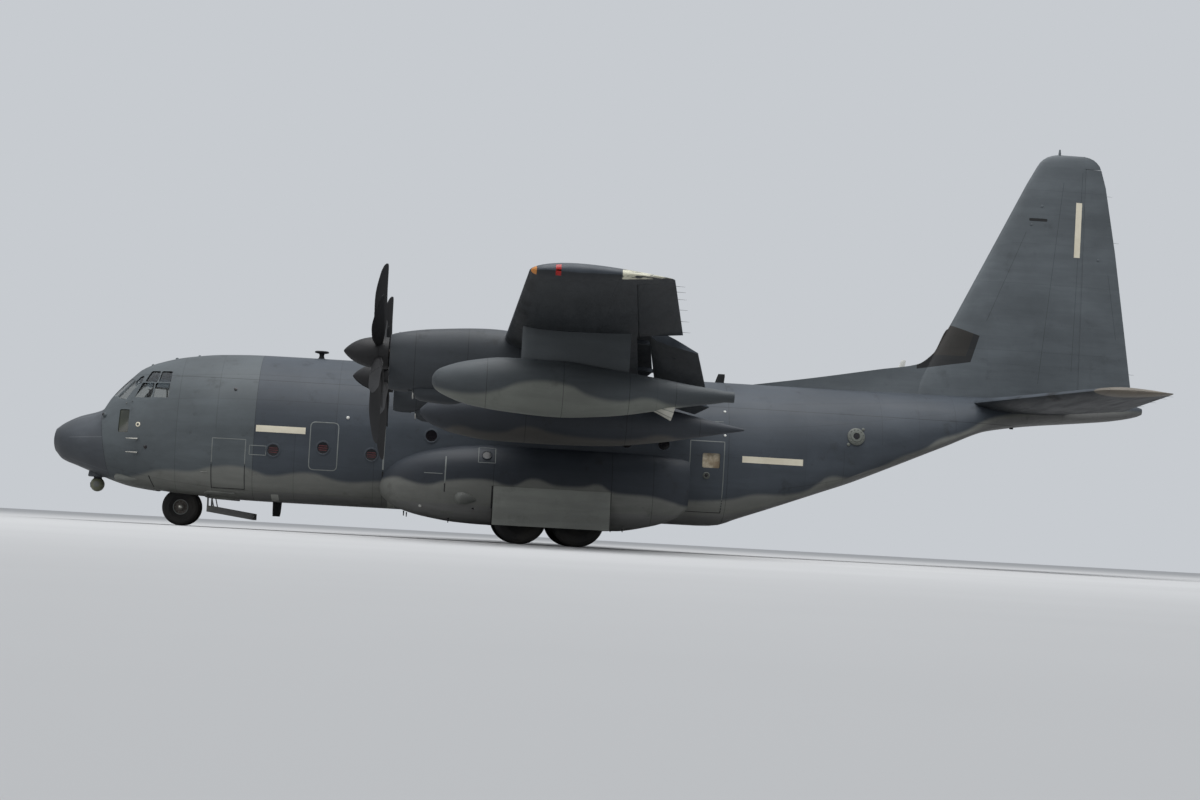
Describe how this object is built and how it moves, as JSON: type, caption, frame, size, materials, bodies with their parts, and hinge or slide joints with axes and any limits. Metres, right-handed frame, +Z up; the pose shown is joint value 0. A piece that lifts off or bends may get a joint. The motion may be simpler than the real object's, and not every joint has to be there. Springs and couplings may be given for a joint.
{
  "type": "scale model transport aircraft",
  "caption": "High-winged military transport aircraft with turboprop engines, underwing tanks and hose pods, a rear loading ramp and landing gear down, as a 1:2 scale model.",
  "frame": {"origin": "on the ground under the middle of the bounding box", "axes": "+X aft towards the tail, +Y to the right-hand (starboard) wing tip, +Z up"},
  "size_m": [14.895, 20.205, 5.92],
  "materials": {
    "upper_paint": "matt dark grey paint",
    "wing_paint": "matt dark grey paint",
    "under_paint": "matt brownish grey paint",
    "fairing_paint": "matt brownish grey paint",
    "radome_paint": "matt dark grey coating",
    "glazing": "dark tinted glass",
    "cabin_paint": "matt grey-green paint",
    "gear_metal": "satin light grey paint on steel",
    "engine_metal": "dull dark metal",
    "blade_black": "satin black-brown paint",
    "tyre_rubber": "black rubber",
    "sensor_paint": "satin olive grey paint"
  },
  "bodies": {
    "airframe": {"radome": "radome_paint", "nose_section": "upper_paint", "cockpit_glazing": "glazing", "flight_deck": "cabin_paint", "centre_fuselage": "upper_paint", "cargo_floor": "cabin_paint", "aft_fuselage": "upper_paint", "centre_wing": "wing_paint", "fin": "wing_paint", "nose_gear_leg": "gear_metal", "nose_gear_door": "under_paint", "left_paratroop_door": "upper_paint", "left_wheel_fairing": "fairing_paint", "left_main_gear_door": "under_paint", "left_main_gear_legs": "gear_metal", "left_outer_wing": "wing_paint", "left_tailplane": "wing_paint", "left_fuel_tank": "fairing_paint", "left_hose_pod": "fairing_paint", "right_paratroop_door": "upper_paint", "right_wheel_fairing": "fairing_paint", "right_main_gear_door": "under_paint", "right_main_gear_legs": "gear_metal", "right_outer_wing": "wing_paint", "right_tailplane": "wing_paint", "right_fuel_tank": "fairing_paint", "right_hose_pod": "fairing_paint", "left_outer_nacelle": "fairing_paint", "left_outer_engine": "engine_metal", "left_inner_nacelle": "fairing_paint", "left_inner_engine": "engine_metal", "right_inner_nacelle": "fairing_paint", "right_inner_engine": "engine_metal", "right_outer_nacelle": "fairing_paint", "right_outer_engine": "engine_metal"},
    "sensor_turret": {"sensor_turret": "sensor_paint"},
    "crew_door": {"crew_door": "upper_paint"},
    "cargo_ramp": {"cargo_ramp": "under_paint"},
    "aft_cargo_door": {"aft_cargo_door": "under_paint"},
    "nose_gear_fork": {"nose_gear_fork": "gear_metal"},
    "nose_wheels": {"left_nose_wheel": "tyre_rubber", "right_nose_wheel": "tyre_rubber"},
    "rudder": {"rudder": "wing_paint"},
    "elevators": {"left_elevator": "wing_paint", "right_elevator": "wing_paint"},
    "left_front_main_wheel": {"left_front_main_wheel": "tyre_rubber"},
    "left_rear_main_wheel": {"left_rear_main_wheel": "tyre_rubber"},
    "right_front_main_wheel": {"right_front_main_wheel": "tyre_rubber"},
    "right_rear_main_wheel": {"right_rear_main_wheel": "tyre_rubber"},
    "left_outer_propeller": {"left_outer_propeller": "blade_black"},
    "left_inner_propeller": {"left_inner_propeller": "blade_black"},
    "right_inner_propeller": {"right_inner_propeller": "blade_black"},
    "right_outer_propeller": {"right_outer_propeller": "blade_black"},
    "right_inner_flap": {"right_inner_flap": "fairing_paint"},
    "right_outer_flap": {"right_outer_flap": "fairing_paint"},
    "right_aileron": {"right_aileron": "wing_paint"},
    "left_inner_flap": {"left_inner_flap": "fairing_paint"},
    "left_outer_flap": {"left_outer_flap": "fairing_paint"},
    "left_aileron": {"left_aileron": "wing_paint"}
  },
  "joints": [
    {"name": "turret_pan", "type": "hinge", "parent": "airframe", "child": "sensor_turret", "pos_m": [-6.8375, 0, 0.49], "axis": [0, 0, 1], "continuous": true},
    {"name": "crew_door_hinge", "type": "hinge", "parent": "airframe", "child": "crew_door", "pos_m": [-5.0175, -0.76747, 0.5225], "axis": [1, 0, 0], "range_deg": [0, 108]},
    {"name": "ramp_hinge", "type": "hinge", "parent": "airframe", "child": "cargo_ramp", "pos_m": [1.5555, 0, 0.4065], "axis": [0, 1, 0], "range_deg": [0, 33]},
    {"name": "aft_door_hinge", "type": "hinge", "parent": "airframe", "child": "aft_cargo_door", "pos_m": [5.2055, 0, 1.947], "axis": [0, 1, 0], "range_deg": [0, 24]},
    {"name": "nose_steering", "type": "hinge", "parent": "airframe", "child": "nose_gear_fork", "pos_m": [-5.6875, 0, 0.56], "axis": [0, 0, 1], "range_deg": [-60, 60]},
    {"name": "nose_wheel_spin", "type": "hinge", "parent": "nose_gear_fork", "child": "nose_wheels", "pos_m": [-5.6875, 0, 0.24692], "axis": [0, 1, 0], "continuous": true},
    {"name": "rudder_hinge", "type": "hinge", "parent": "airframe", "child": "rudder", "pos_m": [6.5325, 0, 4], "axis": [0, 0, 1], "range_deg": [-35, 35]},
    {"name": "elevator_hinge", "type": "hinge", "parent": "airframe", "child": "elevators", "pos_m": [6.3025, 0, 2.26], "axis": [0, 1, 0], "range_deg": [-40, 15]},
    {"name": "left_front_main_wheel_spin", "type": "hinge", "parent": "airframe", "child": "left_front_main_wheel", "pos_m": [-1.1675, -1.085, 0.35359], "axis": [0, 1, 0], "continuous": true},
    {"name": "left_rear_main_wheel_spin", "type": "hinge", "parent": "airframe", "child": "left_rear_main_wheel", "pos_m": [-0.4075, -1.085, 0.35359], "axis": [0, 1, 0], "continuous": true},
    {"name": "right_front_main_wheel_spin", "type": "hinge", "parent": "airframe", "child": "right_front_main_wheel", "pos_m": [-1.1675, 1.085, 0.35359], "axis": [0, 1, 0], "continuous": true},
    {"name": "right_rear_main_wheel_spin", "type": "hinge", "parent": "airframe", "child": "right_rear_main_wheel", "pos_m": [-0.4075, 1.085, 0.35359], "axis": [0, 1, 0], "continuous": true},
    {"name": "left_outer_propeller_spin", "type": "hinge", "parent": "airframe", "child": "left_outer_propeller", "pos_m": [-2.9975, -5.08, 2.09], "axis": [1, 0, 0], "continuous": true},
    {"name": "left_inner_propeller_spin", "type": "hinge", "parent": "airframe", "child": "left_inner_propeller", "pos_m": [-2.9975, -2.47, 1.99], "axis": [1, 0, 0], "continuous": true},
    {"name": "right_inner_propeller_spin", "type": "hinge", "parent": "airframe", "child": "right_inner_propeller", "pos_m": [-2.9975, 2.47, 1.99], "axis": [1, 0, 0], "continuous": true},
    {"name": "right_outer_propeller_spin", "type": "hinge", "parent": "airframe", "child": "right_outer_propeller", "pos_m": [-2.9975, 5.08, 2.09], "axis": [1, 0, 0], "continuous": true},
    {"name": "right_inner_flap_turn", "type": "hinge", "parent": "airframe", "child": "right_inner_flap", "pos_m": [0.11955, 1.15, 1.15584], "axis": [0, 1, 0], "range_deg": [-18, 18]},
    {"name": "right_outer_flap_turn", "type": "hinge", "parent": "airframe", "child": "right_outer_flap", "pos_m": [0.11336, 2.85, 1.16574], "axis": [-0.0871, 0.9864, 0.1395], "range_deg": [-18, 18]},
    {"name": "right_aileron_hinge", "type": "hinge", "parent": "airframe", "child": "right_aileron", "pos_m": [-0.17847, 6.74, 2.37119], "axis": [-0.0971, 0.9938, 0.0542], "range_deg": [-25, 15]},
    {"name": "left_inner_flap_turn", "type": "hinge", "parent": "airframe", "child": "left_inner_flap", "pos_m": [0.11955, -1.15, 1.15584], "axis": [0, 1, 0], "range_deg": [-18, 18]},
    {"name": "left_outer_flap_turn", "type": "hinge", "parent": "airframe", "child": "left_outer_flap", "pos_m": [0.11336, -2.85, 1.16574], "axis": [0.0871, 0.9864, -0.1395], "range_deg": [-18, 18]},
    {"name": "left_aileron_hinge", "type": "hinge", "parent": "airframe", "child": "left_aileron", "pos_m": [-0.17847, -6.74, 2.37119], "axis": [0.0971, 0.9938, -0.0542], "range_deg": [-15, 25]}
  ],
  "couplings": [
    {"joint": "right_outer_flap_turn", "follows": "right_inner_flap_turn", "ratio": 1},
    {"joint": "left_inner_flap_turn", "follows": "right_inner_flap_turn", "ratio": 1},
    {"joint": "left_outer_flap_turn", "follows": "right_inner_flap_turn", "ratio": 1},
    {"joint": "left_aileron_hinge", "follows": "right_aileron_hinge", "ratio": -1}
  ]
}
